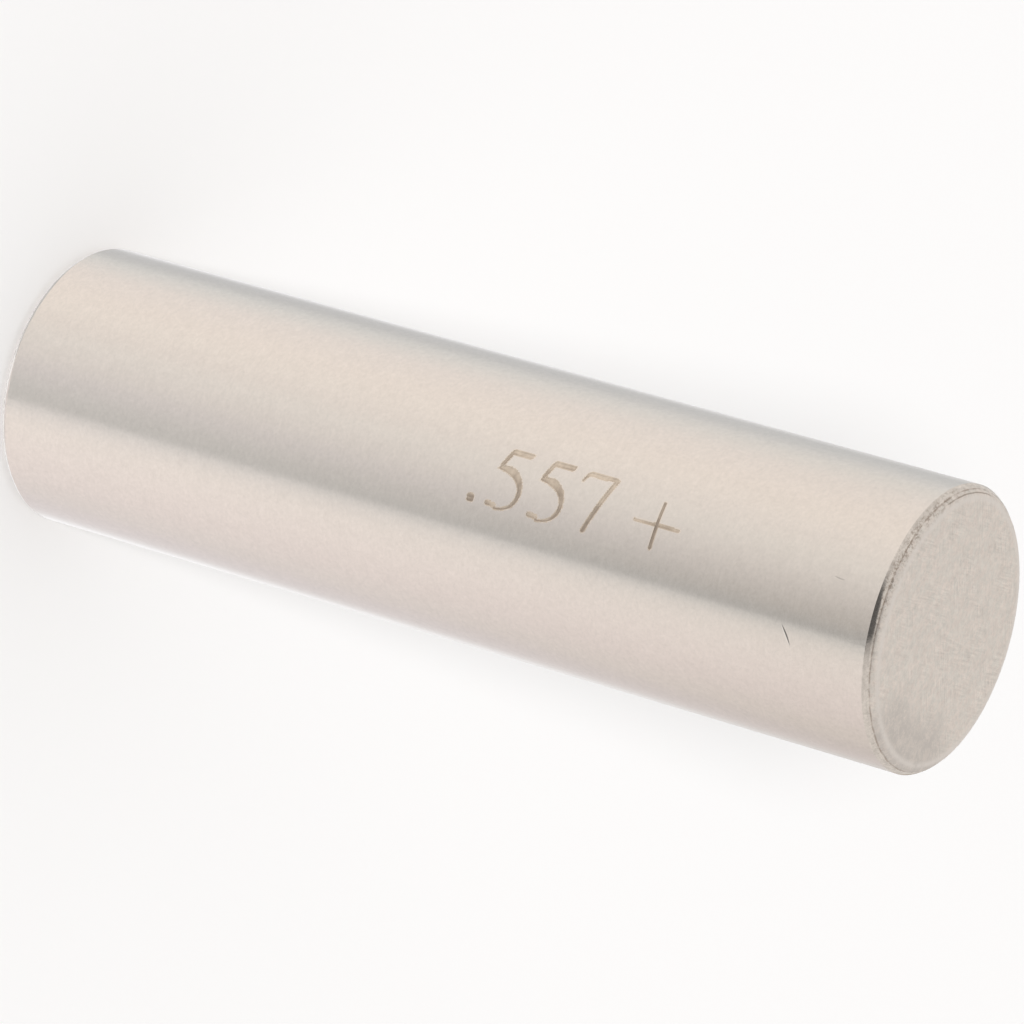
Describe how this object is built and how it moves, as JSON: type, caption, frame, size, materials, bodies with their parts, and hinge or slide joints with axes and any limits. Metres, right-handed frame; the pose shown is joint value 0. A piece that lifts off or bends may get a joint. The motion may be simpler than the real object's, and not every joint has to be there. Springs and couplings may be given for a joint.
{
  "type": "pin gauge",
  "caption": "Plain cylindrical pin gauge of ground and lapped steel, with broken edges and flat ends, for checking the size of holes.",
  "frame": {"origin": "middle of the end face that the pin stands on", "axes": "+Z along the pin's axis, up to the other end face; the side that carries the size faces -Y"},
  "size_m": [0.0142, 0.0142, 0.0508],
  "materials": {
    "ground_steel": "ground and lapped, satin, with fine circumferential grain"
  },
  "bodies": {
    "root": {"gauge_pin": "ground_steel"}
  },
  "joints": []
}
